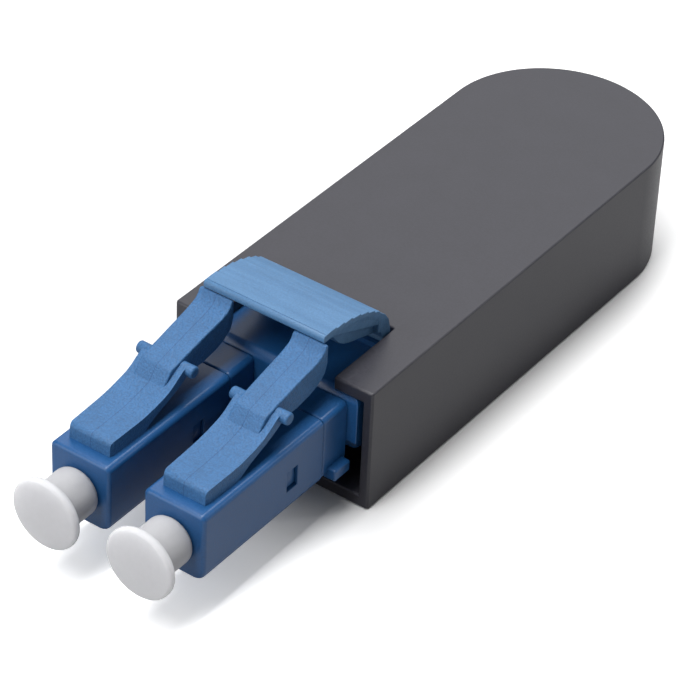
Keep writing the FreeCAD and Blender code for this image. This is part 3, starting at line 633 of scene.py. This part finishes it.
def moulded(name, colour, roughness, fine, depth, spread=0.12, gloss=0.5):
    """A fine eroded grain of the given depth, uneven gloss and a faint cloudiness of colour."""
    uneven, cloud_scale, fine_share = 0.05, 500, 3.0
    finish, nodes, links, shader, spot = new_finish(name, colour, roughness)
    shader.inputs["Specular IOR Level"].default_value = gloss
    small = grain(nodes, links, spot, fine, 2.0)
    wide = grain(nodes, links, spot, cloud_scale, 4.0)
    both = reckon(nodes, links, "MULTIPLY_ADD", small, fine_share, wide)
    dark = tuple(c * (1 - spread) for c in colour)
    light = tuple(min(1.0, c * (1 + spread)) for c in colour)
    cloud = ramp(nodes, links, mapped(nodes, links, both, 1.4, 2.6), [(0, dark), (1, light)])
    links.new(cloud, shader.inputs["Base Color"])
    sheen = mapped(nodes, links, small, 0.3, 0.7, roughness - uneven, roughness + uneven)
    links.new(sheen, shader.inputs["Roughness"])
    links.new(dents(nodes, links, small, depth), shader.inputs["Normal"])
    return finish


def add_parting_line(finish):
    """A fine darker line down each lever, near its middle, where the halves of the mould met."""
    nodes, links, shader, spot = opened(finish)
    off_middle, half_line = 0.05, 0.02
    across = reckon(nodes, links, "ABSOLUTE", coordinate(nodes, links, spot, "X"))
    on_line = reckon(nodes, links, "COMPARE", across, (PITCH - off_middle) * MM, half_line * MM)
    tint(nodes, links, shader, (0.55, 0.6, 0.68, 1), on_line)


def add_flow_marks(finish):
    """Fine streaks across the press plate, side by side along the steps."""
    nodes, links, shader, spot = opened(finish)
    stretch = nodes.new("ShaderNodeMapping")
    stretch.inputs["Scale"].default_value = (0.06, 1, 1)      # long across the plate
    links.new(spot, stretch.inputs["Vector"])
    streaks = grain(nodes, links, stretch.outputs["Vector"], 3000, 3.0)
    dull, bright = (0.84, 0.88, 0.9), (1.08, 1.06, 1.04)
    tint(nodes, links, shader, ramp(nodes, links, streaks, [(0.3, dull), (0.7, bright)]))
    before = shader.inputs["Normal"].links[0].from_socket
    links.new(dents(nodes, links, streaks, 0.02, under=before), shader.inputs["Normal"])


def paint_shade_on_stem(finish, share):
    """Paints shade on the stem behind the cap's disc: takes it down to a share of the disc's tone."""
    nodes, links, shader, spot = opened(finish)
    disc_back, stem_front = NOSE - 2.72, NOSE - 2.45
    reach = coordinate(nodes, links, spot, "Y")
    tint(nodes, links, shader, graded(nodes, links, reach, disc_back, stem_front, 1, share))


def make_finishes():
    black = moulded("case_black", (0.033, 0.0325, 0.042), 0.36, fine=9000, depth=0.003, gloss=0.45)
    lever = moulded("lever_blue", (0.038, 0.13, 0.295), 0.5, fine=9000, depth=0.045,
                    spread=0.2, gloss=0.4)
    add_parting_line(lever)
    # Painted shade: the plugs' blue is set darker than the levers' blue to stand in for the shade on
    # their sides.
    plug = moulded("plug_blue_with_painted_shade", (0.012, 0.082, 0.235), 0.35, fine=9000, depth=0.004, spread=0.1)
    plate = moulded("press_blue", (0.075, 0.185, 0.35), 0.45, fine=9000, depth=0.01,
                    spread=0.1, gloss=0.45)
    add_flow_marks(plate)
    cap = moulded("cap_white", (0.57, 0.57, 0.59), 0.55, fine=3000, depth=0.002,
                  spread=0.015, gloss=0.15)
    # Painted shade: the cap's stem is made darker than its disc.
    paint_shade_on_stem(cap, 0.75)
    milky = cap.node_tree.nodes[SHADER].inputs
    milky["Subsurface Weight"].default_value = 1.0
    milky["Subsurface Scale"].default_value = 2.0 * MM
    milky["Subsurface Radius"].default_value = (1, 1, 1)
    ceramic = moulded("ferrule_ceramic", (0.85, 0.84, 0.8), 0.2, fine=4000, depth=0.001, spread=0.02)
    metal = moulded("turned_metal", (0.6, 0.6, 0.58), 0.3, fine=9000, depth=0.003, spread=0.06)
    brass = moulded("sleeve_metal", (0.65, 0.5, 0.25), 0.3, fine=9000, depth=0.003, spread=0.06)
    for thing in (metal, brass):
        thing.node_tree.nodes[SHADER].inputs["Metallic"].default_value = 1
    jacket = moulded("fiber_jacket", (0.85, 0.72, 0.12), 0.35, fine=3000, depth=0.003, spread=0.04)
    return {"case": black, "lever": lever, "plug": plug, "press": plate, "cap": cap,
            "ceramic": ceramic, "metal": metal, "brass": brass, "jacket": jacket}


def coat(piece, finish):
    """Gives the piece its finish, in every slot it has."""
    if not piece.material_slots:
        piece.data.materials.append(finish)
    for slot in piece.material_slots:
        slot.material = finish


# Assembly.

finishes = make_finishes()

case = make_case()
coat(case, finishes["case"])
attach(case, "module")
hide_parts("case")

trigger = make_trigger()
coat(trigger, finishes["press"])
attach(trigger, "press_plate")
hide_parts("trigger")

for side, sign in SIDES.items():
    x = sign * PITCH
    housing = make_housing(side, x)
    coat(housing, finishes["plug"])
    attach(housing, "module")
    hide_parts("plug_housing_" + side)
    lever = make_lever(side, x)
    coat(lever, finishes["lever"])
    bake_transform(lever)
    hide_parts("latch_lever_" + side)
    rear = make_rear_body(side, sign)
    coat(rear, finishes["plug"])
    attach(rear, "module")
    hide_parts("rear_body_" + side)
    cap = make_cap(side, x)
    coat(cap, finishes["cap"])
    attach(cap, "cap_" + side)
    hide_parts("dust_cap_" + side)
    coil = make_spring(side, x)
    coat(coil, finishes["metal"])
    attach(coil, "module")
    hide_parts("spring_" + side)
    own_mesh(coil)
    for node, look in (("ferrule_", "ceramic"), ("ferrule_holder_", "metal"), ("crimp_sleeve_", "brass")):
        coat(bpy.data.objects[node + side], finishes[look])
clip = make_clip()
coat(clip, finishes["plug"])
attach(clip, "module")
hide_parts("duplex_clip")
coat(bpy.data.objects["fiber_loop"], finishes["jacket"])


# Floor, light and camera.

GREY_FLOOR = 0.42      # the floor's tone as the pieces see it


def make_floor():
    """White to the camera, with painted light before the caps and behind the case that lightens the
    shadow there; to the pieces it is a light grey, so their undersides stay dark."""
    clear()
    bpy.ops.mesh.primitive_plane_add(size=2, location=at(0, 0, -0.02))
    floor = keep("floor")
    paint = bpy.data.materials.new("white_floor")
    paint.use_nodes = True
    nodes, links = paint.node_tree.nodes, paint.node_tree.links
    nodes.remove(nodes[SHADER])
    reach = coordinate(nodes, links, nodes.new("ShaderNodeTexCoord").outputs["Object"], "Y")
    rays = nodes.new("ShaderNodeLightPath").outputs

    # Glossy faces see only a little of the white, or the case's side would be too light.
    shown = rays["Is Camera Ray"]
    for ray, share in (("Is Glossy Ray", 0.12), ("Is Transmission Ray", 1)):
        shown = reckon(nodes, links, "MULTIPLY_ADD", rays[ray], share, shown)
    # Painted light: to the camera the floor is lighter before the caps and behind the case, which thins
    # the shadow there.
    painted_light_before_caps = graded(nodes, links, reach, -21, -29, 0.8, 1.3)
    painted_light_behind_case = graded(nodes, links, reach, 6, 18, 0, 0.25)
    white = reckon(nodes, links, "ADD", painted_light_before_caps, painted_light_behind_case)
    shade = nodes.new("ShaderNodeMix")
    shade.data_type = "RGBA"
    links.new(shown, shade.inputs["Factor"])
    shade.inputs[6].default_value = (GREY_FLOOR, GREY_FLOOR, GREY_FLOOR, 1)
    links.new(white, shade.inputs[7])
    matt = nodes.new("ShaderNodeBsdfDiffuse")
    links.new(shade.outputs[2], matt.inputs["Color"])

    # A faint painted glow from the case's mouth forwards, for the camera alone, thins the shadow there.
    painted_glow = nodes.new("ShaderNodeEmission")
    front = graded(nodes, links, reach, -17, -24, 0, 0.28)
    links.new(reckon(nodes, links, "MULTIPLY", front, rays["Is Camera Ray"]), painted_glow.inputs["Strength"])
    layers = nodes.new("ShaderNodeAddShader")
    links.new(matt.outputs[0], layers.inputs[0])
    links.new(painted_glow.outputs[0], layers.inputs[1])
    links.new(layers.outputs[0], nodes["Material Output"].inputs["Surface"])
    coat(floor, paint)


MODULE_MIDDLE = Vector((0, -0.006, 0.004))     # in metres


def lamp(name, stands, size, power, length=None):
    """A soft card of light, square or long, turned to the module; places and sizes in metres."""
    clear()
    bpy.ops.object.light_add(type="AREA", location=stands)
    light = bpy.context.object
    light.name = name
    light.data.shape = "RECTANGLE"
    light.data.size = size
    light.data.size_y = length or size
    light.data.energy = power
    aim = MODULE_MIDDLE - Vector(stands)
    light.rotation_euler = aim.to_track_quat("-Z", "Y").to_euler()
    return light


def make_camera():
    """The camera, at the place and turn fitted to the photograph."""
    turn, rise, roll = math.radians(34.51), math.radians(37.17), math.radians(2.69)
    back = Vector((math.sin(turn) * math.cos(rise), -math.cos(turn) * math.cos(rise), math.sin(rise)))
    right = Vector((math.cos(turn), math.sin(turn), 0))
    up = back.cross(right)
    across = right * math.cos(roll) + up * math.sin(roll)
    above = up * math.cos(roll) - right * math.sin(roll)
    stands = at(84.17, -133.08, 117.33)
    clear()
    bpy.ops.object.camera_add()
    camera = bpy.context.object
    camera.name = "camera"
    looks = Matrix((across, above, back)).transposed().to_4x4()
    camera.matrix_world = Matrix.Translation(stands) @ looks
    camera.data.sensor_width = 36
    camera.data.lens = 178.0
    camera.data.clip_start = 0.01
    bpy.context.scene.camera = camera


make_floor()
overhead = lamp("overhead", (-0.06, -0.1, 0.6), 0.2, 5.6, length=0.95)
overhead.rotation_euler = (0, -0.1, 0)     # its long side lies along the module
lamp("back_card", (-0.226, 0.328, 0.302), 0.4, 0.55)
lamp("front_card", (-0.2, -0.48, 0.22), 0.35, 1.15)
lamp("rim", (0.27, 0.29, 0.2), 0.02, 0.13)
world = bpy.data.worlds.new("studio")
bpy.context.scene.world = world
world.use_nodes = True
world.node_tree.nodes["Background"].inputs["Color"].default_value = (0.97, 0.98, 1, 1)
world.node_tree.nodes["Background"].inputs["Strength"].default_value = 0.2
bpy.context.scene.view_settings.view_transform = "Standard"
make_camera()
